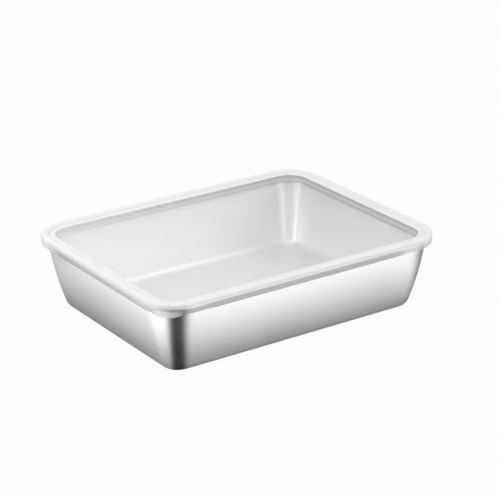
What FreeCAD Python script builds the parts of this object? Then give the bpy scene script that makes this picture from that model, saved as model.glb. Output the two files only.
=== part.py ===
import FreeCAD, Part
import math
import os

# Lidded instrument tray: a pan drawn from one steel sheet, with a rolled rim, and a
# one-piece plastic lid that grips the rim. Millimetres, +Z up, X along the long side.
# The origin is the middle of the pan's underside. An inset is a distance inwards from the
# lid's outer side face, so it means the same thing on all four sides.

# Overall, with the lid on
LENGTH = 260.0
WIDTH = 200.0
HEIGHT = 62.0
CORNER_RADIUS = 28.0

# Lid, from outside in: brim, bead over the rim, groove, raised lip, recess wall and panel.
# A run is the distance inwards from the last of these to the next.
LID_WALL = 1.3
BRIM_HEIGHT = 1.8
BRIM_STEP = 0.5
BRIM_RADIUS = 0.3
BEAD_HEIGHT = 3.8
SHOULDER_RADIUS = 1.6
CROWN_MARGIN = 0.3
CROWN_RADIUS = 2.0
GROOVE_RUN = 1.4
GROOVE_DEPTH = 2.0
GROOVE_RADIUS = 0.8
LIP_RISE_RUN = 1.2
LIP_DEPTH = 1.7
LIP_RADIUS = 0.8
LIP_RUN = 3.0
RECESS_RUN = 1.1
RECESS_DEPTH = 7.1
RECESS_RADIUS = 1.5
PANEL_LAND = 4.0

# Skirt: a thin upright band below the bead. Along each side a grip leans in under the rim,
# and it stops short of the corners. One corner has a lifting tab.
SKIRT_STEP = 0.4
SKIRT_DEPTH = 9.2
GRIP_LEAN = 1.3
GRIP_END_RUN = 13.0
TAB_DROP = 1.5
TAB_WIDTH = 24.0

# Pan
SHEET = 0.6
CURL_RADIUS = 1.3
CURL_TURN = 255.0
RIM_LEG = 2.5
WALL_RUN = 12.8
WALL_BOW = 1.3
BASE_CORNER_RADIUS = 14.0
BASE_EDGE_RADIUS = 7.5

# Fits between the lid and the rim
SIDE_CLEARANCE = 0.4
SEAT_GAP = 0.3

# Heights and insets that follow from the sizes above
skirt_wall = LID_WALL - SKIRT_STEP
grip_inset = SKIRT_STEP + GRIP_LEAN
curl_inset = grip_inset + skirt_wall + SIDE_CLEARANCE + CURL_RADIUS
crown_inset = curl_inset + CURL_RADIUS + CROWN_MARGIN
groove_inset = crown_inset + GROOVE_RUN
lip_outer_inset = groove_inset + LIP_RISE_RUN
lip_inset = lip_outer_inset + LIP_RUN
recess_inset = lip_inset + RECESS_RUN
panel_inset = recess_inset + PANEL_LAND
crease_z = HEIGHT - BEAD_HEIGHT
skirt_edge_z = HEIGHT - SKIRT_DEPTH
panel_z = HEIGHT - RECESS_DEPTH
curl_z = HEIGHT - LID_WALL - SEAT_GAP - CURL_RADIUS
wall_top_inset = curl_inset + CURL_RADIUS - SHEET
wall_top_z = curl_z - RIM_LEG
wall_top_radius = CORNER_RADIUS - wall_top_inset

UP = FreeCAD.Vector(0, 0, 1)
CENTRE = FreeCAD.Vector(0, 0, 0)


def outline(inset, radius, z):
    """A rounded rectangle at height z, with its sides moved in by the inset."""
    x = LENGTH / 2 - inset
    y = WIDTH / 2 - inset
    edges = []
    for side in range(4):
        reach, run = (x, y) if side % 2 == 0 else (y, x)
        turn = FreeCAD.Rotation(UP, 90.0 * side)
        bend = radius * (1 - math.sqrt(0.5))
        straight = [(-reach, run - radius), (-reach, radius - run)]
        corner = [(-reach, radius - run), (bend - reach, bend - run), (radius - reach, -run)]
        line_ends = [turn.multVec(FreeCAD.Vector(px, py, z)) for px, py in straight]
        arc_points = [turn.multVec(FreeCAD.Vector(px, py, z)) for px, py in corner]
        edges.append(Part.LineSegment(*line_ends).toShape())
        edges.append(Part.Arc(*arc_points).toShape())
    return Part.Wire(edges)


def loft(*sections):
    """A solid through rounded rectangles, each given as (inset, corner radius, height)."""
    return Part.makeLoft([outline(*section) for section in sections], True)


def shifted_path(path, distance):
    """The path moved to its right by a distance, with its corner radii kept concentric."""
    points = [FreeCAD.Vector(inset, 0, z) for inset, z, _ in path]
    runs = [(b - a).normalize() for a, b in zip(points, points[1:])]
    sides = [FreeCAD.Vector(run.z, 0, -run.x) for run in runs]
    moved = [(points[0] + sides[0] * distance, 0.0)]
    for index in range(1, len(points) - 1):
        before, after = sides[index - 1], sides[index]
        mitre = (before + after) * (distance / (1 + before.dot(after)))
        right_turn = before.cross(after).y > 0
        radius = path[index][2] + (-distance if right_turn else distance)
        moved.append((points[index] + mitre, max(radius, 0.0)))
    moved.append((points[-1] + sides[-1] * distance, 0.0))
    return [(point.x, point.z, radius) for point, radius in moved]


def path_edges(path):
    """Lines joined by tangent arcs, through points given as (inset, height, corner radius)."""
    points = [FreeCAD.Vector(inset, 0, z) for inset, z, _ in path]
    edges = []
    start = points[0]
    for index in range(1, len(points) - 1):
        back = (points[index - 1] - points[index]).normalize()
        ahead = (points[index + 1] - points[index]).normalize()
        radius = path[index][2]
        if radius == 0:
            edges.append(Part.LineSegment(start, points[index]).toShape())
            start = points[index]
            continue
        half_angle = back.getAngle(ahead) / 2
        enter = points[index] + back * (radius / math.tan(half_angle))
        leave = points[index] + ahead * (radius / math.tan(half_angle))
        reach = radius / math.sin(half_angle) - radius
        middle = points[index] + (back + ahead).normalize() * reach
        edges.append(Part.LineSegment(start, enter).toShape())
        edges.append(Part.Arc(enter, middle, leave).toShape())
        start = leave
    edges.append(Part.LineSegment(start, points[-1]).toShape())
    return edges


def side_sizes(side):
    """How far a side lies from the middle, and half the length of its straight stretch."""
    reach, run = (LENGTH, WIDTH) if side % 2 == 0 else (WIDTH, LENGTH)
    return reach / 2, run / 2 - CORNER_RADIUS


def flat_face(points):
    """A face with straight edges through points given as (inset, height)."""
    corners = [FreeCAD.Vector(inset, 0, z) for inset, z in points]
    return Part.Face(Part.makePolygon(corners + corners[:1]))


def along_side(profile, side, start, finish):
    """A profile face in (inset, height), run along one side between two places on it."""
    reach, _ = side_sizes(side)
    face = profile.translated(FreeCAD.Vector(-reach, start, 0))
    piece = face.extrude(FreeCAD.Vector(0, finish - start, 0))
    return piece.rotated(CENTRE, UP, 90.0 * side)


def round_corner(profile, side):
    """The profile turned round the corner at the start of one side."""
    reach, half_run = side_sizes(side)
    face = profile.translated(FreeCAD.Vector(-reach, -half_run, 0))
    pivot = FreeCAD.Vector(CORNER_RADIUS - reach, -half_run, 0)
    return face.revolve(pivot, UP, 90).rotated(CENTRE, UP, 90.0 * side)


def ring(profile):
    """The profile run along each side and turned round each corner."""
    pieces = []
    for side in range(4):
        half_run = side_sizes(side)[1]
        pieces.append(along_side(profile, side, -half_run, half_run))
        pieces.append(round_corner(profile, side))
    return pieces[0].multiFuse(pieces[1:])


def rounded_base(solid, radius):
    """The solid with a radius round the edge of its lowest face."""
    lowest = min(solid.Faces, key=lambda face: face.CenterOfMass.z)
    return solid.makeFillet(radius, lowest.Edges)


def pan_shell(skin):
    """The pan's outside, or with a skin of one sheet its inside, up to the rim's leg."""
    middle_inset = wall_top_inset + WALL_RUN / 2 - WALL_BOW
    middle_radius = (wall_top_radius + BASE_CORNER_RADIUS) / 2
    solid = loft(
        (wall_top_inset + WALL_RUN + skin, BASE_CORNER_RADIUS - skin, skin),
        (middle_inset + skin, middle_radius - skin, (wall_top_z + skin) / 2),
        (wall_top_inset + skin, wall_top_radius - skin, wall_top_z),
    )
    return rounded_base(solid, BASE_EDGE_RADIUS - skin)


def rolled_rim():
    """An upright leg of sheet that rolls outwards and down into a hollow curl."""
    centre = FreeCAD.Vector(curl_inset, 0, curl_z)

    def on_curl(radius, degrees):
        angle = math.radians(degrees)
        return centre + FreeCAD.Vector(radius * math.cos(angle), 0, radius * math.sin(angle))

    inner_radius = CURL_RADIUS - SHEET
    foot_inside = FreeCAD.Vector(wall_top_inset + SHEET, 0, wall_top_z)
    foot_outside = FreeCAD.Vector(wall_top_inset, 0, wall_top_z)
    outside = [on_curl(CURL_RADIUS, CURL_TURN * part) for part in (0, 0.5, 1)]
    inside = [on_curl(inner_radius, CURL_TURN * part) for part in (1, 0.5, 0)]
    edges = [
        Part.LineSegment(foot_inside, outside[0]).toShape(),
        Part.Arc(*outside).toShape(),
        Part.LineSegment(outside[-1], inside[0]).toShape(),
        Part.Arc(*inside).toShape(),
        Part.LineSegment(inside[-1], foot_outside).toShape(),
        Part.LineSegment(foot_outside, foot_inside).toShape(),
    ]
    return ring(Part.Face(Part.Wire(edges)))


def steel_pan():
    """Floor, flared walls and rolled rim, all one sheet."""
    shell = pan_shell(0.0).cut(pan_shell(SHEET))
    return shell.fuse(rolled_rim()).removeSplitter()


def lid_ring():
    """Bead, groove, lip and recess wall: one wall thickness below their top surface."""
    top = [
        (BRIM_STEP, crease_z, 0.0),
        (BRIM_STEP, HEIGHT, SHOULDER_RADIUS),
        (crown_inset, HEIGHT, CROWN_RADIUS),
        (groove_inset, HEIGHT - GROOVE_DEPTH, GROOVE_RADIUS),
        (lip_outer_inset, HEIGHT - LIP_DEPTH, LIP_RADIUS),
        (lip_inset, HEIGHT - LIP_DEPTH, LIP_RADIUS),
        (recess_inset, panel_z, RECESS_RADIUS),
        (panel_inset, panel_z, 0.0),
    ]
    under = shifted_path(top, LID_WALL)
    ends = []
    for upper, lower in ((top[-1], under[-1]), (under[0], top[0])):
        start = FreeCAD.Vector(upper[0], 0, upper[1])
        finish = FreeCAD.Vector(lower[0], 0, lower[1])
        ends.append(Part.LineSegment(start, finish).toShape())
    edges = path_edges(top) + [ends[0]] + path_edges(under)[::-1] + [ends[1]]
    return ring(Part.Face(Part.Wire(edges)))


def lid_brim():
    """A band standing out round the foot of the bead."""
    brim_z = crease_z + BRIM_HEIGHT
    path = [
        (LID_WALL, crease_z, 0.0),
        (0.0, crease_z, 0.0),
        (0.0, brim_z, BRIM_RADIUS),
        (LID_WALL, brim_z, 0.0),
        (LID_WALL, crease_z, 0.0),
    ]
    return ring(Part.Face(Part.Wire(path_edges(path))))


def lid_skirt():
    """The upright band, with the grips in place of it along the middle of each side."""
    outer, inner = SKIRT_STEP, LID_WALL
    upright = flat_face(
        [(outer, crease_z), (inner, crease_z), (inner, skirt_edge_z), (outer, skirt_edge_z)]
    )
    leaning = flat_face(
        [
            (outer, crease_z),
            (inner, crease_z),
            (inner + GRIP_LEAN, skirt_edge_z),
            (outer + GRIP_LEAN, skirt_edge_z),
        ]
    )
    end_web = flat_face(
        [
            (outer, crease_z),
            (inner, crease_z),
            (inner + GRIP_LEAN, skirt_edge_z),
            (outer, skirt_edge_z),
        ]
    )
    pieces = []
    for side in range(4):
        half_run = side_sizes(side)[1]
        half_grip = half_run - GRIP_END_RUN
        web_start = half_grip - skirt_wall
        pieces.append(round_corner(upright, side))
        pieces.append(along_side(upright, side, -half_run, -half_grip))
        pieces.append(along_side(upright, side, half_grip, half_run))
        pieces.append(along_side(end_web, side, -half_grip, -web_start))
        pieces.append(along_side(end_web, side, web_start, half_grip))
        pieces.append(along_side(leaning, side, -web_start, web_start))
    return pieces[0].multiFuse(pieces[1:])


def lifting_tab():
    """A shallow scallop below the skirt at one corner, bounded by an arc."""
    strip = flat_face(
        [
            (SKIRT_STEP, skirt_edge_z),
            (LID_WALL, skirt_edge_z),
            (LID_WALL, skirt_edge_z - TAB_DROP),
            (SKIRT_STEP, skirt_edge_z - TAB_DROP),
        ]
    )
    arc_radius = ((TAB_WIDTH / 2) ** 2 + TAB_DROP**2) / (2 * TAB_DROP)
    x, y = LENGTH / 2 - CORNER_RADIUS, WIDTH / 2 - CORNER_RADIUS
    pivot = FreeCAD.Vector(-x, -y, skirt_edge_z - TAB_DROP + arc_radius)
    outwards = FreeCAD.Vector(-1, -1, 0)
    disc = Part.makeCylinder(arc_radius, CORNER_RADIUS, pivot, outwards)
    return round_corner(strip, 0).common(disc)


def lid_panel():
    """The flat recessed middle, inside the ring's land."""
    plate = Part.Face(outline(panel_inset, CORNER_RADIUS - panel_inset, panel_z - LID_WALL))
    return plate.extrude(UP * LID_WALL)


def lid():
    """Ring, brim, skirt, tab and panel, moulded in one piece."""
    pieces = [lid_brim(), lid_skirt(), lifting_tab(), lid_panel()]
    return lid_ring().fuse(pieces).removeSplitter()


def single_solid(shape, name):
    """The one solid that the shape must be."""
    if len(shape.Solids) != 1 or not shape.isValid():
        raise ValueError(f"{name} is not one sound solid")
    return shape.Solids[0]


os.makedirs("parts", exist_ok=True)
for name, shape in (("steel_pan", steel_pan()), ("lid", lid())):
    solid = single_solid(shape, name)
    solid.exportStep(f"parts/{name}.step")
    box = solid.optimalBoundingBox(True, False)
    size = f"{box.XLength:.2f} x {box.YLength:.2f} x {box.ZLength:.2f} mm"
    print(f"{name}: {size}, from z {box.ZMin:.2f}, {solid.Volume / 1000:.2f} cm3")
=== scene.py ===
import bpy
import numpy as np
from mathutils import Matrix, Vector


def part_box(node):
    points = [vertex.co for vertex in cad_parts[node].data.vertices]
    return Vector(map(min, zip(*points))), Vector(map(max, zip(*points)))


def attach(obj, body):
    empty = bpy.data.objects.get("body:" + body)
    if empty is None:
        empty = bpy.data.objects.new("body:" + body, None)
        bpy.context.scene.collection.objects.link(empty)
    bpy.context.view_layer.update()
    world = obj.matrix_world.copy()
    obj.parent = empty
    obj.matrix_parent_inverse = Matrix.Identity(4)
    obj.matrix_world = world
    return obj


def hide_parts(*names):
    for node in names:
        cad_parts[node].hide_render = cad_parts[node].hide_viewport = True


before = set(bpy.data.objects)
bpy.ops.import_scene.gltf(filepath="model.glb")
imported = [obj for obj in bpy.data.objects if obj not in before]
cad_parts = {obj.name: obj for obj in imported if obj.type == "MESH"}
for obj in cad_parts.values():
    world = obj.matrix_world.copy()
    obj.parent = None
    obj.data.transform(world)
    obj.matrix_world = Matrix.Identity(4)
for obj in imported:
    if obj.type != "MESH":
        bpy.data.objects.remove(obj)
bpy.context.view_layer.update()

# ---- Steel pan --------------------------------------------------------------------
# One stainless sheet, deep-drawn into a box with flared, slightly bowed walls, then rolled
# outwards round its edge into a hollow rim. Satin finish, brushed along the sides.
# Sizes are in millimetres; an inset is measured inwards from the lid's outer side face.
_, lid_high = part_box("lid")
_, pan_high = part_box("steel_pan")
MM = 0.001
HALF_SIZE = np.array([lid_high.x, lid_high.y]) / MM
CORNER_RADIUS = 28.0
SHEET = 0.6
CURL_RADIUS = 1.3
CURL_TURN = 255.0
RIM_LEG = 2.5
WALL_RUN = 12.8
WALL_BOW = 1.3
BASE_CORNER_RADIUS = 14.0
SOFT_CORNER = 2.5
RIM_BLEND = 12.0
BASE_EDGE_RADIUS = 7.5
ARC_STEPS = 24
SIDE_STEPS = 44
WALL_STEPS = 34
EDGE_STEPS = 15
CURL_STEPS = 25
curl_inset = HALF_SIZE[0] - pan_high.x / MM + CURL_RADIUS
curl_z = pan_high.z / MM - CURL_RADIUS
wall_top_inset = curl_inset + CURL_RADIUS - SHEET
wall_top_z = curl_z - RIM_LEG


def once_round():
    """One trip round a rounded rectangle, anticlockwise from the end of the back side: each of
    the four corners as equal turns of the side normal, then the side after it in equal steps.
    Gives, for each step, where its centre of turn lies between the corners (as signs from -1
    to 1), its outward normal, and how far along its side it is (0 or 1 in a corner)."""
    turn = np.linspace(0.0, 90.0, ARC_STEPS + 1)
    along = np.linspace(0.0, 1.0, SIDE_STEPS + 1)[1:-1]
    signs, angles, fractions = [], [], []
    corners = np.array([[-1, 1], [-1, -1], [1, -1], [1, 1]], float)
    for k in range(4):
        here, there = corners[k], corners[(k + 1) % 4]
        signs.append(np.repeat(here[None], ARC_STEPS + 1, 0))
        signs.append(here + (there - here) * along[:, None])
        angles.append(90.0 * (k + 1) + turn)
        angles.append(np.full(along.size, 90.0 * (k + 2)))
        fractions.append(np.where(turn < 45.0, 1.0, 0.0))
        fractions.append(along)
    radians = np.radians(np.concatenate(angles))
    normals = np.stack([np.cos(radians), np.sin(radians)], 1)
    return np.concatenate(signs), normals, np.concatenate(fractions)


def carried_round(inset, radius, height, scale=1.0, power=2.0):
    """The profile carried once round the tray: a point's place is its centre of turn, at the
    half size less inset and radius, plus the radius times the side normal, each part of it
    raised to 2 over the power: 2 gives a round corner, more a corner that runs softly into its
    sides, with the radius grown to keep its middle in place. The scale draws the whole ring
    towards the middle, for flat floors. Rows are the profile, columns the trip."""
    signs, normals, _ = once_round()
    count = len(normals)
    inset, radius, height, scale, power = (
        np.broadcast_to(np.reshape(v, (len(v), -1)) if np.ndim(v) else v, (len(inset), count))
        for v in (inset, radius, height, scale, power)
    )
    radius = radius * (1 - 0.5 ** 0.5) / (1 - 0.5 ** (1 / power))
    outward = np.sign(normals) * np.abs(normals) ** (2 / power)[..., None]
    reach = HALF_SIZE - (inset + radius)[..., None]
    place = (signs * reach + outward * radius[..., None]) * scale[..., None]
    return np.concatenate([place, height[..., None]], 2) * MM


def skin_mesh(name, grid):
    """A closed mesh from the carried profile: rows joined by quads all the way round, and the
    first and last rows closed onto one point each. The UV map holds the distance round the
    tray and the distance along the profile, in metres, and plain X and Y where it is flat."""
    rows, count, _ = grid.shape
    first, last = grid[0].mean(0), grid[-1].mean(0)
    points = np.concatenate([grid.reshape(-1, 3), first[None], last[None]])
    row, column = np.meshgrid(np.arange(rows - 1), np.arange(count), indexing="ij")
    after = (column + 1) % count
    quads = np.stack(
        [row * count + column, row * count + after, (row + 1) * count + after,
         (row + 1) * count + column], 2
    ).reshape(-1, 4)
    step = np.arange(count)
    following = (step + 1) % count
    foot = np.stack([np.full(count, rows * count), following, step], 1)
    top_row = (rows - 1) * count
    head = np.stack([top_row + step, top_row + following, np.full(count, rows * count + 1)], 1)
    faces = quads.tolist() + foot.tolist() + head.tolist()
    mesh = bpy.data.meshes.new(name)
    mesh.from_pydata(points.tolist(), [], faces)
    mesh.polygons.foreach_set("use_smooth", np.ones(len(faces), bool))

    widest = grid[np.abs(grid[..., 0]).max(1).argmax()]
    hops = np.linalg.norm(np.diff(widest, axis=0, append=widest[:1]), axis=1)
    round_way = np.concatenate([[0.0], np.cumsum(hops)])
    rise = np.linalg.norm(np.diff(grid, axis=0), axis=2).mean(1)
    profile_way = np.concatenate([[0.0], np.cumsum(rise)])
    wrapped = np.stack(
        [np.stack([round_way[column + dc], profile_way[row + dr]], 2)
         for dr, dc in ((0, 0), (0, 1), (1, 1), (1, 0))], 2
    ).reshape(-1, 4, 2)
    laid_flat = points[quads][..., :2]
    level = np.ptp(points[quads][..., 2], axis=1) < 1e-7
    quad_uv = np.where(level[:, None, None], laid_flat, wrapped)
    caps_uv = points[np.concatenate([foot, head])][..., :2]
    layer = mesh.uv_layers.new(name="sheet")
    every_uv = np.concatenate([quad_uv.reshape(-1, 2), caps_uv.reshape(-1, 2)])
    layer.data.foreach_set("uv", every_uv.ravel())
    mesh.validate()
    mesh.update()
    return mesh


def wall_curve(height):
    """The wall's outer inset at a height: a parabola through the base, the bowed middle and the
    foot of the rim's leg."""
    t = height / wall_top_z
    return wall_top_inset + WALL_RUN * (1 - t) - 4 * WALL_BOW * t * (1 - t)


def wall_corner(height):
    """The wall's corner radius at a height, in proportion from the base's to the rim's."""
    rim_corner = CORNER_RADIUS - wall_top_inset
    return BASE_CORNER_RADIUS + (rim_corner - BASE_CORNER_RADIUS) * height / wall_top_z


def wall_rows(skin):
    """Inset, corner radius and height of the wall and base edge, from the flat floor up, for
    the outside (skin 0) or the inside (skin one sheet). The base edge is an arc that touches
    the floor and the wall: the height where it meets the wall and the wall's lean there are
    worked out from each other until they settle."""
    radius = BASE_EDGE_RADIUS - skin
    lean, span = 0.3, 0.01
    for _ in range(20):
        contact = skin + radius * (1 - np.sin(lean))
        slope = (wall_curve(contact - span) - wall_curve(contact + span)) / (2 * span)
        lean = np.arctan(slope)
    turn = np.linspace(np.pi / 2, lean, EDGE_STEPS)[:-1]
    beside = radius * (np.cos(lean) - np.cos(turn))
    edge = [wall_curve(contact) + beside, wall_corner(contact) - beside,
            skin + radius * (1 - np.sin(turn))]
    height = np.linspace(contact, wall_top_z, WALL_STEPS)
    wall = [wall_curve(height), wall_corner(height), height]
    return np.concatenate([edge, wall], 1) + np.array([[skin], [-skin], [0.0]])


def pan_profile():
    """The sheet's whole outline from the middle of the underside, up the outside, round the
    hollow curl, back over it and down the inside to the middle of the floor. The corners are
    round at the rim and run softly into the sides from a short way below it."""
    outside, inside = wall_rows(0.0), wall_rows(SHEET)[:, ::-1]
    turn = np.radians(np.linspace(0.0, CURL_TURN, CURL_STEPS))
    lip_turn = np.linspace(0.0, np.pi, 7)[1:-1]
    lip = CURL_RADIUS - SHEET / 2
    lip_angle = turn[-1] + SHEET / 2 * np.sin(lip_turn) / lip
    curl_angle = np.concatenate([turn, lip_angle, turn[::-1]])
    curl_radius = np.concatenate([
        np.full(CURL_STEPS, CURL_RADIUS - SHEET), lip - SHEET / 2 * np.cos(lip_turn),
        np.full(CURL_STEPS, CURL_RADIUS),
    ])
    out = curl_inset + curl_radius * np.cos(curl_angle)
    curl = [out, CORNER_RADIUS - out, curl_z + curl_radius * np.sin(curl_angle)]
    flat = np.linspace(0.04, 0.98, 7)
    underside = np.repeat([outside[:2, 0].tolist() + [0.0]], len(flat), 0).T
    floor = np.repeat([inside[:2, -1].tolist() + [SHEET]], len(flat), 0).T
    sheet = np.concatenate([outside, curl, inside], 1)
    inset, radius, height = np.concatenate([underside, sheet, floor], 1)
    scale = np.concatenate([flat, np.ones(sheet.shape[1]), flat[::-1]])
    below_rim = np.clip((wall_top_z - height) / RIM_BLEND, 0, 1)
    power = 2.0 + (SOFT_CORNER - 2.0) * below_rim * below_rim * (3 - 2 * below_rim)
    return inset, radius, height, scale, power


def new_material(name):
    """A new material, with its nodes, its links and its shader."""
    material = bpy.data.materials.new(name)
    material.use_nodes = True
    tree = material.node_tree
    return material, tree.nodes, tree.links, tree.nodes["Principled BSDF"]


def noise(nodes, links, place, scale, detail, roughness=0.5):
    """Smooth noise at a place, of about so many waves to one unit, with finer waves on it."""
    texture = nodes.new("ShaderNodeTexNoise")
    texture.inputs["Scale"].default_value = scale
    texture.inputs["Detail"].default_value = detail
    texture.inputs["Roughness"].default_value = roughness
    links.new(place, texture.inputs["Vector"])
    return texture.outputs["Fac"]


def spread(nodes, links, value, old_ends, new_ends, smooth=False):
    """A value carried over from one span to another, each given by its two ends, and held at
    the ends beyond them. A smooth one eases in and out."""
    span = nodes.new("ShaderNodeMapRange")
    span.interpolation_type = "SMOOTHSTEP" if smooth else "LINEAR"
    span.inputs["From Min"].default_value, span.inputs["From Max"].default_value = old_ends
    span.inputs["To Min"].default_value, span.inputs["To Max"].default_value = new_ends
    links.new(value, span.inputs["Value"])
    return span.outputs[0]


def added(nodes, links, amount, factor, base):
    """An amount times a factor, added to a base, as a node."""
    total = nodes.new("ShaderNodeMath")
    total.operation = "MULTIPLY_ADD"
    total.inputs[1].default_value = factor
    links.new(amount, total.inputs[0])
    links.new(base, total.inputs[2])
    return total


def two_tone(nodes, links, share, low, low_colour, high, high_colour):
    """A colour that runs evenly from one to the other while a share goes from low to high."""
    band = nodes.new("ShaderNodeValToRGB")
    first, second = band.color_ramp.elements
    first.position, first.color = low, (*low_colour, 1)
    second.position, second.color = high, (*high_colour, 1)
    links.new(share, band.inputs["Fac"])
    return band.outputs["Color"]


def relief(nodes, links, height, strength, depth):
    """The normal of a surface with a fine relief from a height."""
    bump = nodes.new("ShaderNodeBump")
    bump.inputs["Strength"].default_value = strength
    bump.inputs["Distance"].default_value = depth
    links.new(height, bump.inputs["Height"])
    return bump.outputs[0]


def satin_steel():
    """Satin stainless: long fine brushing round the sheet from noise stretched along it, faint
    cloudy changes of polish, and a scuffed band where the base rubs on the table."""
    material, nodes, links, shader = new_material("satin_steel")
    shader.inputs["Metallic"].default_value = 1.0
    shader.inputs["Anisotropic"].default_value = 0.6
    shader.inputs["Anisotropic Rotation"].default_value = 0.25
    tangent = nodes.new("ShaderNodeTangent")
    tangent.direction_type = "UV_MAP"
    tangent.uv_map = "sheet"
    links.new(tangent.outputs[0], shader.inputs["Tangent"])

    sheet = nodes.new("ShaderNodeUVMap")
    sheet.uv_map = "sheet"
    stretch = nodes.new("ShaderNodeMapping")
    stretch.inputs["Scale"].default_value = (18.0, 1100.0, 1.0)
    links.new(sheet.outputs[0], stretch.inputs["Vector"])
    grain = noise(nodes, links, stretch.outputs[0], 1.0, 5.0, 0.62)
    tone = two_tone(nodes, links, grain, 0.25, (0.89, 0.89, 0.895), 0.75, (0.95, 0.95, 0.95))
    links.new(tone, shader.inputs["Base Color"])
    links.new(relief(nodes, links, grain, 0.10, 0.00012), shader.inputs["Normal"])

    place = nodes.new("ShaderNodeTexCoord").outputs["Object"]
    height = nodes.new("ShaderNodeSeparateXYZ")
    links.new(place, height.inputs[0])
    rub = spread(nodes, links, height.outputs["Z"], (0.0035, 0.0), (0.0, 1.0), smooth=True)
    polish = spread(nodes, links, grain, (0.3, 0.7), (0.32, 0.40))
    uneven = added(nodes, links, noise(nodes, links, place, 26.0, 3.0), 0.07, polish)
    scuffed = added(nodes, links, rub, 0.18, uneven.outputs[0])
    links.new(scuffed.outputs[0], shader.inputs["Roughness"])
    return material


pan_mesh = skin_mesh("pressed_pan", carried_round(*pan_profile()))
pan_mesh.materials.append(satin_steel())
pressed_pan = bpy.data.objects.new("pressed_pan", pan_mesh)
bpy.context.scene.collection.objects.link(pressed_pan)
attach(pressed_pan, "pan")
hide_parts("steel_pan")

# ---- Lid --------------------------------------------------------------------------
# One moulding of milky, see-through plastic: a bead that sits over the pan's rim, a brim at
# its foot, a groove and a raised lip, and a flat recessed panel. Below the brim hangs a thin
# skirt, pressed in along each side to grip under the rim, with a lifting tab at one corner.
HEIGHT = lid_high.z / MM
LID_WALL = 1.3
SKIRT_STEP = 0.4
BRIM_STEP = 0.5
BRIM_HEIGHT = 1.8
BEAD_HEIGHT = 3.8
GROOVE_DEPTH = 2.0
LIP_DEPTH = 1.7
PANEL_DEPTH = 7.1
SKIRT_DEPTH = 9.2
GRIP_LEAN = 1.3
GRIP_END_RUN = 13.0
GRIP_TAPER = 9.0
GRIP_LEAD = 0.3
TAB_DROP = 1.5
TAB_HALF_WIDTH = 12.0
TAB_STEP = 0.35
TAB_TOP = 0.33
TAB_TOP_RUN = 0.08
CORNER_RISE = 1.1
RISE_START = 0.6
EDGE_ROUND = 0.18
FOLD_ROUND = 0.12
crease_z = HEIGHT - BEAD_HEIGHT
skirt_edge_z = HEIGHT - SKIRT_DEPTH
groove_z = HEIGHT - GROOVE_DEPTH
lip_z = HEIGHT - LIP_DEPTH
panel_z = HEIGHT - PANEL_DEPTH
BEAD_TO_PANEL = np.array(
    # inset, height, rounding
    [(BRIM_STEP, crease_z, 0.0), (BRIM_STEP, HEIGHT, 1.6), (5.9, HEIGHT, 2.0),
     (7.3, groove_z, 0.8), (8.5, lip_z, 0.8), (11.5, lip_z, 0.8),
     (12.6, panel_z, 1.5), (16.6, panel_z, 0.0)]
)


def one_wall_below(path):
    """The path moved one wall thickness to its right, which is under the lid: each corner goes
    along the bisector of its two runs, and its rounding grows or shrinks to stay concentric."""
    runs = np.diff(path[:, :2], axis=0)
    runs /= np.linalg.norm(runs, axis=1)[:, None]
    sides = np.stack([runs[:, 1], -runs[:, 0]], 1)
    before, after = sides[:-1], sides[1:]
    mitre = (before + after) * (LID_WALL / (1 + (before * after).sum(1)))[:, None]
    turns_right = before[:, 0] * after[:, 1] - before[:, 1] * after[:, 0] < 0
    rounding = path[1:-1, 2] + np.where(turns_right, -LID_WALL, LID_WALL)
    middle = np.column_stack([path[1:-1, :2] + mitre, np.maximum(rounding, 0.2)])
    ends = np.column_stack([path[[0, -1], :2] + sides[[0, -1]] * LID_WALL, [0.0, 0.0]])
    return np.concatenate([ends[:1], middle, ends[1:]])


def rounded_path(path, arc_points=7, run_points=8):
    """Points along straight runs joined by arcs that touch them, for corners given as inset,
    height and rounding. An arc's centre lies on its corner's bisector, and its points turn
    evenly from the end of one run to the start of the next."""
    places = path[:, :2]
    parts = []
    leave = places[0]
    for index in range(1, len(path) - 1):
        back = places[index - 1] - places[index]
        ahead = places[index + 1] - places[index]
        back, ahead = back / np.linalg.norm(back), ahead / np.linalg.norm(ahead)
        half = np.arccos(np.clip(back @ ahead, -1, 1)) / 2
        radius = path[index, 2]
        enter = places[index] + back * radius / np.tan(half)
        bisector = (back + ahead) / np.linalg.norm(back + ahead)
        centre = places[index] + bisector * radius / np.sin(half)
        leaving = places[index] + ahead * radius / np.tan(half)
        first, last = enter - centre, leaving - centre
        sweep = np.pi - 2 * half
        t = np.linspace(0, 1, arc_points)[:, None]
        arc = centre + (np.sin((1 - t) * sweep) * first + np.sin(t * sweep) * last) / np.sin(sweep)
        run = np.linspace(0, 1, run_points + 1)[1:-1, None]
        parts.extend([leave + (enter - leave) * run, arc])
        leave = leaving
    run = np.linspace(0, 1, run_points + 1)[1:, None]
    parts.append(leave + (places[-1] - leave) * run)
    return np.concatenate(parts)


def lid_outline():
    """The lid's whole section, from the middle of the panel's underside out under the bead, down
    inside the skirt, round its edge, up the outside and in over the top to the middle."""
    below = one_wall_below(BEAD_TO_PANEL)[::-1]
    inner = below[-1, 0]
    outside = [
        (inner, crease_z, FOLD_ROUND),
        (LID_WALL, crease_z, FOLD_ROUND),
        (LID_WALL, skirt_edge_z, EDGE_ROUND * 2),
        (SKIRT_STEP, skirt_edge_z, EDGE_ROUND * 2),
        (SKIRT_STEP, crease_z, FOLD_ROUND),
        (0.0, crease_z, EDGE_ROUND),
        (0.0, crease_z + BRIM_HEIGHT, 0.3),
        (BRIM_STEP, crease_z + BRIM_HEIGHT, 0.15),
    ]
    return rounded_path(np.concatenate([below[:-1], outside, BEAD_TO_PANEL[1:]]))


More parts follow.
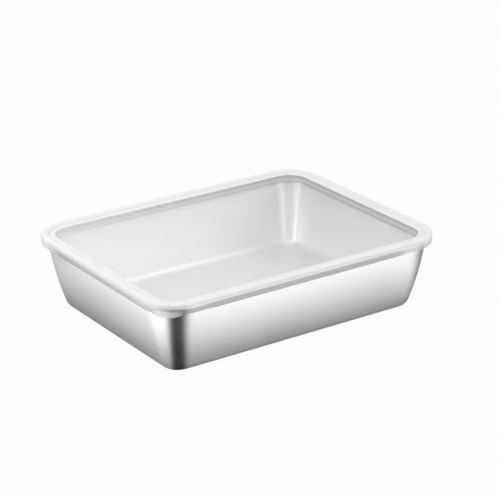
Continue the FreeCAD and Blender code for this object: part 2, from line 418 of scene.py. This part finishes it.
def grip_amount():
    """How far the skirt is pressed in at each step round the lid, from 0 to 1: nothing in the
    corners and for a short run beside them, then a smooth rise over the taper to the full
    lean. A lead, as a share of the taper, starts the rise before the run's end."""
    _, normals, fraction = once_round()
    side_run = np.where(np.abs(normals[:, 0]) > 0.5, HALF_SIZE[1], HALF_SIZE[0]) - CORNER_RADIUS
    from_corner = np.minimum(fraction, 1 - fraction) * 2 * side_run
    t = np.clip((from_corner - GRIP_END_RUN) / GRIP_TAPER + GRIP_LEAD, 0, 1)
    return t * t * (3 - 2 * t)


def tab_amount():
    """How far the lifting tab hangs below the skirt's edge at each step, from 0 to 1: a
    parabola across the front left corner, deepest at its middle."""
    signs, normals, _ = once_round()
    in_corner = (signs == -1).all(1)
    across = (normals[:, 0] - normals[:, 1]) / np.sqrt(2) * CORNER_RADIUS
    rise = np.clip(1 - (across / TAB_HALF_WIDTH) ** 2, 0, 1)
    return np.where(in_corner, rise, 0.0)


# The section's points are the rows. Down the skirt, hang grows from 0 at the crease to 1 at the
# edge: the grips lean in by it, the tab stands out below its top, and near the edge the corners
# rise and the tab drops.
section = lid_outline()
in_skirt = (section[:, 0] < LID_WALL + 0.2) & (section[:, 1] < crease_z - 0.05)
hang = np.where(in_skirt, (crease_z - section[:, 1]) / (crease_z - skirt_edge_z), 0.0)
near_edge = np.clip((hang - RISE_START) / (1 - RISE_START), 0, 1)
outer_face = in_skirt & (section[:, 0] < 1.0)
tab_ledge = np.where(outer_face, np.clip((hang - TAB_TOP) / TAB_TOP_RUN, 0, 1), 0.0)
grip, tab = grip_amount(), tab_amount()
tab_width = np.sqrt(tab)
lid_inset = (
    section[:, :1] + GRIP_LEAN * hang[:, None] * grip[None]
    - TAB_STEP * tab_ledge[:, None] * tab_width[None]
)
corner_rise = CORNER_RISE * (1 - grip) * (1 - tab_width)
lid_height = section[:, 1:] + near_edge[:, None] * (corner_rise - TAB_DROP * tab)[None]
flat_steps = np.linspace(0.03, 0.985, 9)
flat_rows = np.ones((len(flat_steps), lid_inset.shape[1]))
lid_inset = np.concatenate([flat_rows * lid_inset[0], lid_inset, flat_rows * lid_inset[-1]])
lid_height = np.concatenate([flat_rows * lid_height[0], lid_height, flat_rows * lid_height[-1]])
lid_scale = np.concatenate([flat_steps, np.ones(len(section)), flat_steps[::-1]])
lid_grid = carried_round(lid_inset, CORNER_RADIUS - lid_inset, lid_height, lid_scale)
lid_mesh = skin_mesh("moulded_lid", lid_grid)


def flats_added(amount):
    """One column of an amount for each row of the lid: none in the flat rows of the panel's
    underside and top, and the given amount along the section between them."""
    none = np.zeros(len(flat_steps))
    return np.concatenate([none, amount, none])[:, None]


# How milky the wall is: nearly clear in the flat panel, densest in the ring, clearer down the
# bead's side and in the skirt, and denser again in the brim, the corners and the tab.
PANEL_MILK = 0.05
row_inset = lid_inset[:, 0] + (1 - lid_scale) * HALF_SIZE[1]
ring = np.interp(
    row_inset, [3.0, 5.0, 9.0, 11.3, 12.2, 14.0], [0.75, 0.70, 0.75, 0.6, 0.16, PANEL_MILK]
)
side_share = np.clip((HEIGHT - 1.0 - lid_height.mean(1)) / 1.2, 0, 1) * (row_inset < 3)
ring = ring * (1 - side_share) + np.where(row_inset < 0.4, 0.58, 0.38) * side_share
down_skirt = flats_added(hang)
signs, normals, _ = once_round()
plain_corner = (1 - grip[None]) * (1 - (signs < -0.6).all(1)[None])
tab_share = flats_added(tab_ledge) * tab_width[None]
skirt_milk = 0.36 + 0.06 * plain_corner + 0.24 * tab_share
milk = np.where(down_skirt > 0, skirt_milk, ring[:, None])

# Painted shade, as grey in the plastic's colour: on the skirt, more towards its edge and less in
# the corners and the tab, standing in for the shadowed gap behind it; on the brim on the left; and
# on the recess's side, more towards the right.
to_left = np.clip(-normals[:, 0], 0, 1)[None] ** 2
skirt_painted_shade = (
    np.clip(0.2 + down_skirt * 2.2, 0, 1) * (1 - to_left) + (0.45 + 0.5 * down_skirt) * to_left
)
skirt_painted_shade = skirt_painted_shade * (1 - 0.65 * plain_corner) * (1 - 0.85 * tab_share)
on_bead = (row_inset < 0.6)[:, None]
brim_painted_shade = np.clip((HEIGHT - 1.8 - lid_height) / 2.0, 0, 1) * on_bead * 0.3 * to_left
recess = np.interp(row_inset, [11.0, 11.5, 12.0, 12.8, 14.0], [0.0, 0.9, 0.9, 0.6, 0.0])
to_right = np.interp(lid_grid[..., 0].mean(0), [-0.12, 0.12], [0.12, 1.0])
grey = np.where(down_skirt > 0, skirt_painted_shade, recess[:, None] * to_right[None] + brim_painted_shade)
for name, amount, in_middle in (("milk", milk, PANEL_MILK), ("grey", grey, 0.0)):
    values = np.concatenate([amount.ravel(), [in_middle, in_middle]]).astype(np.float32)
    lid_mesh.attributes.new(name, "FLOAT", "POINT").data.foreach_set("value", values)


def milky_plastic():
    """Milky see-through plastic: one attribute gives how much each wall hides, more where it is
    seen along the wall, and another the painted shade that greys it. Cloudy flow marks, a fine
    satin skin and a soft gloss lie over both."""
    material, nodes, links, shader = new_material("lid_plastic")
    shader.inputs["IOR"].default_value = 1.49
    shader.inputs["Coat Weight"].default_value = 0.25
    shader.inputs["Coat Roughness"].default_value = 0.12
    place = nodes.new("ShaderNodeTexCoord").outputs["Object"]

    def painted(name):
        """The amount that the lid's points carry under a name."""
        attribute = nodes.new("ShaderNodeAttribute")
        attribute.attribute_name = name
        return attribute.outputs["Fac"]

    flow = noise(nodes, links, place, 9.0, 1.0)
    tone = two_tone(nodes, links, flow, 0.0, (0.915, 0.915, 0.91), 1.0, (0.955, 0.955, 0.95))
    # Painted shade: the grey attribute mixes a dark grey into the plastic's colour.
    painted_shade_mix = nodes.new("ShaderNodeMix")
    painted_shade_mix.data_type = "RGBA"
    painted_shade_mix.inputs["B"].default_value = (0.25, 0.26, 0.27, 1)
    links.new(painted("grey"), painted_shade_mix.inputs["Factor"])
    links.new(tone, painted_shade_mix.inputs["A"])
    links.new(painted_shade_mix.outputs["Result"], shader.inputs["Base Color"])

    skin = noise(nodes, links, place, 900.0, 2.0)
    satin = spread(nodes, links, skin, (0.0, 1.0), (0.26, 0.42))
    links.new(satin, shader.inputs["Roughness"])
    links.new(relief(nodes, links, skin, 0.06, 0.00015), shader.inputs["Normal"])

    slant = nodes.new("ShaderNodeLayerWeight")
    slant.inputs["Blend"].default_value = 0.25
    cloudy = added(nodes, links, flow, 0.05, painted("milk"))
    denser = added(nodes, links, slant.outputs["Facing"], 0.22, cloudy.outputs[0])
    denser.use_clamp = True
    links.new(denser.outputs[0], shader.inputs["Alpha"])
    return material


lid_mesh.materials.append(milky_plastic())
moulded_lid = bpy.data.objects.new("moulded_lid", lid_mesh)
bpy.context.scene.collection.objects.link(moulded_lid)
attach(moulded_lid, "lid")
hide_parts("lid")

# ---- Table and studio -------------------------------------------------------------
# A plain pale table that runs on past the view, in a white room with a wide bright wall on each
# side and a dark opening where the camera stands. To the steel the table shows painted shadow near
# the pan, where its flared sides would shade it, and painted shade towards the back of the room.
REACH = 6.0
TABLE_TOP = -0.0002
TABLE_WHITENESS = 0.93
TABLE_IN_STEEL = 1.95
TRAY_MIDDLE = Vector((0.0, 0.0, 0.03))
# Headings along the table, one unit long.
TO_FRONT = (-0.5612, -0.8277, 0.0)
TO_LEFT = (-0.8277, 0.5612, 0.0)
TO_OPENING = (-0.4147, -0.9100, 0.0)
FROM_RIGHT_END = (-0.8, -0.6, 0.0)
# The shade round the pan is measured from a rectangle inside its base, whatever the height.
SHADE_INSET = 32.0
corner_centre = (*((CORNER_RADIUS - HALF_SIZE) * MM), 0.0)
shaded_half_size = (*((HALF_SIZE - SHADE_INSET) * MM), REACH)
table_mesh = bpy.data.meshes.new("table")
table_mesh.from_pydata(
    [(-REACH, -REACH, TABLE_TOP), (REACH, -REACH, TABLE_TOP), (REACH, REACH, TABLE_TOP),
     (-REACH, REACH, TABLE_TOP)], [], [(0, 1, 2, 3)]
)
table = bpy.data.objects.new("table", table_mesh)
bpy.context.scene.collection.objects.link(table)


def ramp(nodes, links, source, stops):
    """A grey that follows a number smoothly along stops of (number, grey), as a B-spline over
    the numbers scaled to 0 to 1."""
    low, high = stops[0][0], stops[-1][0]
    band = nodes.new("ShaderNodeValToRGB")
    band.color_ramp.interpolation = "B_SPLINE"
    while len(band.color_ramp.elements) < len(stops):
        band.color_ramp.elements.new(0.5)
    for element, (number, grey) in zip(band.color_ramp.elements, stops):
        element.position = (number - low) / (high - low)
        element.color = (grey, grey, grey, 1)
    links.new(spread(nodes, links, source, (low, high), (0.0, 1.0)), band.inputs["Fac"])
    return band.outputs["Color"]


def mixed(nodes, links, share, first, second):
    """The first surface, and the second in its place by a share."""
    mix = nodes.new("ShaderNodeMixShader")
    for socket, source in zip(mix.inputs, (share, first, second)):
        links.new(source, socket)
    return mix.outputs[0]


def pale_table():
    """White to the camera but for a faint shadow. To the steel it shows painted shadow and shade,
    the product of five greys: by distance from a rectangle inside the pan's base (dark near it,
    brightest about 100 mm away), from back to front (dim beside the pan's back half), dimmer past
    the right end, by direction from the near corner (dark towards the opening), and dimmer to the
    right."""
    material, nodes, links, shader = new_material("pale_table")
    shader.inputs["Base Color"].default_value = (0.8, 0.8, 0.8, 1)
    shader.inputs["Roughness"].default_value = 0.9
    shader.inputs["Specular IOR Level"].default_value = 0.0

    def vector(operation, first, second=None):
        """One step of reckoning on one or two vectors, each a link or three numbers."""
        node = nodes.new("ShaderNodeVectorMath")
        node.operation = operation
        for socket, value in zip(node.inputs, (first, second)):
            if isinstance(value, tuple):
                socket.default_value = value
            elif value is not None:
                links.new(value, socket)
        return node.outputs["Value" if operation in ("LENGTH", "DOT_PRODUCT") else "Vector"]

    here = nodes.new("ShaderNodeTexCoord").outputs["Object"]
    past = vector("SUBTRACT", vector("ABSOLUTE", here), shaded_half_size)
    away = vector("LENGTH", vector("MAXIMUM", past, (0.0, 0.0, 0.0)))
    near = ramp(nodes, links, away, [
        (0.010, 0.12), (0.020, 0.17), (0.030, 0.27), (0.045, 0.43), (0.060, 0.61),
        (0.078, 0.88), (0.098, 1.10), (0.125, 0.92), (0.17, 0.62), (0.3, 0.5),
    ])
    depth = vector("DOT_PRODUCT", here, TO_FRONT)
    fall = ramp(nodes, links, depth, [
        (-0.25, 1.0), (-0.14, 0.85), (-0.07, 0.40), (-0.03, 0.42), (-0.005, 0.80),
        (0.010, 1.0), (0.035, 1.0),
    ])
    across = vector("DOT_PRODUCT", here, FROM_RIGHT_END)
    right_end = ramp(nodes, links, across, [
        (-0.12, 0.40), (-0.080, 0.45), (-0.050, 0.80), (-0.025, 1.0), (0.3, 1.0),
    ])
    from_corner = vector("NORMALIZE", vector("SUBTRACT", here, corner_centre))
    facing = vector("DOT_PRODUCT", from_corner, TO_OPENING)
    opening = ramp(nodes, links, facing, [
        (-1.0, 0.90), (-0.5, 0.95), (-0.3, 1.04), (-0.1, 1.11), (0.1, 1.04), (0.3, 1.01),
        (0.5, 1.07), (0.62, 1.06), (0.74, 0.84), (0.86, 0.20), (0.935, 0.0), (1.0, 0.0),
    ])
    leftward = vector("DOT_PRODUCT", from_corner, TO_LEFT)
    window = ramp(nodes, links, leftward, [
        (-1.0, 0.74), (-0.2, 0.79), (0.5, 0.80), (0.85, 0.79), (1.0, 0.90),
    ])
    # Painted shadow and shade on the table, seen only in the steel.
    shade = vector("MULTIPLY", vector("MULTIPLY", near, fall), right_end)
    shade = vector("MULTIPLY", shade, vector("MULTIPLY", opening, window))
    in_steel = nodes.new("ShaderNodeEmission")
    in_steel.inputs["Strength"].default_value = TABLE_IN_STEEL
    links.new(shade, in_steel.inputs["Color"])

    seen = nodes.new("ShaderNodeLightPath")
    share = nodes.new("ShaderNodeMath")
    share.operation = "MULTIPLY"
    share.inputs[1].default_value = TABLE_WHITENESS
    links.new(seen.outputs["Is Camera Ray"], share.inputs[0])
    white = nodes.new("ShaderNodeEmission")
    plain = mixed(nodes, links, share.outputs[0], shader.outputs[0], white.outputs[0])
    either = mixed(nodes, links, seen.outputs["Is Glossy Ray"], plain, in_steel.outputs[0])
    links.new(either, nodes["Material Output"].inputs["Surface"])
    return material


table_mesh.materials.append(pale_table())


def soft_box(name, place, size, power):
    """A rectangular area lamp at a place, turned to face the middle of the tray."""
    lamp = bpy.data.lights.new(name, "AREA")
    lamp.shape = "RECTANGLE"
    lamp.size, lamp.size_y = size
    lamp.energy = power
    box = bpy.data.objects.new(name, lamp)
    bpy.context.scene.collection.objects.link(box)
    way = TRAY_MIDDLE - Vector(place)
    box.matrix_world = Matrix.Translation(place) @ way.to_track_quat("-Z", "Y").to_matrix().to_4x4()
    return box


# The sky light isn't mirrored, so it lays no highlight on the lid's ring.
soft_box("left_light", (-1.08, -0.17, 0.5), (0.3, 0.5), 1.4)
soft_box("middle_light", (0.13, -1.09, 0.5), (0.2, 0.5), 0.8)
sky_light = soft_box("sky_light", (-0.40, 0.22, 0.50), (0.3, 0.3), 0.8)
sky_light.visible_glossy = False
soft_box("front_light", (0.50, -0.97, 0.5), (0.6, 0.6), 1.5)


def white_room():
    """White to the camera, and plain pale walls to anything that isn't shiny. To the steel its
    walls are a grey by direction, bright on both sides of a dark opening, and its ceiling a grey
    by height, with a smooth change from one to the other."""
    world = bpy.data.worlds.new("white_room")
    world.use_nodes = True
    nodes, links = world.node_tree.nodes, world.node_tree.links
    way = nodes.new("ShaderNodeTexCoord").outputs["Generated"]
    to_opening = nodes.new("ShaderNodeVectorMath")
    to_opening.operation = "DOT_PRODUCT"
    to_opening.inputs[1].default_value = TO_OPENING
    links.new(way, to_opening.inputs[0])
    walls = ramp(nodes, links, to_opening.outputs["Value"], [
        (-1.0, 0.62), (-0.6, 0.84), (-0.25, 1.05), (0.1, 1.3), (0.4, 2.4), (0.7, 2.4),
        (0.88, 0.9), (1.0, 0.15),
    ])
    upwards = nodes.new("ShaderNodeSeparateXYZ")
    links.new(way, upwards.inputs[0])
    ceiling = ramp(nodes, links, upwards.outputs["Z"], [
        (0.0, 0.76), (0.45, 0.76), (0.62, 1.2), (0.72, 1.12), (0.82, 0.95), (0.92, 1.1),
        (1.0, 1.15),
    ])
    above = spread(nodes, links, upwards.outputs["Z"], (0.30, 0.60), (0.0, 1.0), smooth=True)
    room = nodes.new("ShaderNodeMix")
    room.data_type = "RGBA"
    links.new(above, room.inputs["Factor"])
    links.new(walls, room.inputs["A"])
    links.new(ceiling, room.inputs["B"])
    in_steel = nodes["Background"]
    links.new(room.outputs["Result"], in_steel.inputs["Color"])
    pale = ramp(nodes, links, upwards.outputs["Z"], [
        (-1.0, 0.75), (0.0, 0.68), (0.3, 0.76), (0.7, 0.83), (1.0, 0.88),
    ])
    plain = nodes.new("ShaderNodeBackground")
    links.new(pale, plain.inputs["Color"])
    backdrop = nodes.new("ShaderNodeBackground")
    backdrop.inputs["Color"].default_value = (1, 1, 1, 1)
    seen = nodes.new("ShaderNodeLightPath").outputs
    either = mixed(nodes, links, seen["Is Glossy Ray"], plain.outputs[0], in_steel.outputs[0])
    shown = mixed(nodes, links, seen["Is Camera Ray"], either, backdrop.outputs[0])
    links.new(shown, nodes["World Output"].inputs["Surface"])
    return world


bpy.context.scene.world = white_room()
bpy.context.scene.view_settings.view_transform = "Standard"

# ---- Camera -----------------------------------------------------------------------
# A long lens on a stand at the tray's front left, half a metre above it and a metre and a half
# away, rolled by half a degree. It looks at a point inside the tray, just right of its middle.
AZIMUTH, ELEVATION, ROLL = np.radians([-34.143, 21.729, 0.550])
DISTANCE = 1.52245
TARGET = Vector((0.012732, -0.000038, 0.042854))
lens = bpy.data.cameras.new("camera")
lens.lens = 139.177
lens.sensor_width = 36.0
lens.clip_end = 50.0
camera = bpy.data.objects.new("camera", lens)
bpy.context.scene.collection.objects.link(camera)
level = np.cos(ELEVATION)
back = Vector((np.sin(AZIMUTH) * level, -np.cos(AZIMUTH) * level, np.sin(ELEVATION)))
right = Vector((np.cos(AZIMUTH), np.sin(AZIMUTH), 0.0))
up = back.cross(right)
turn = Matrix((right, up, back)).transposed() @ Matrix.Rotation(-ROLL, 3, "Z")
camera.matrix_world = Matrix.Translation(TARGET + back * DISTANCE) @ turn.to_4x4()
bpy.context.scene.camera = camera
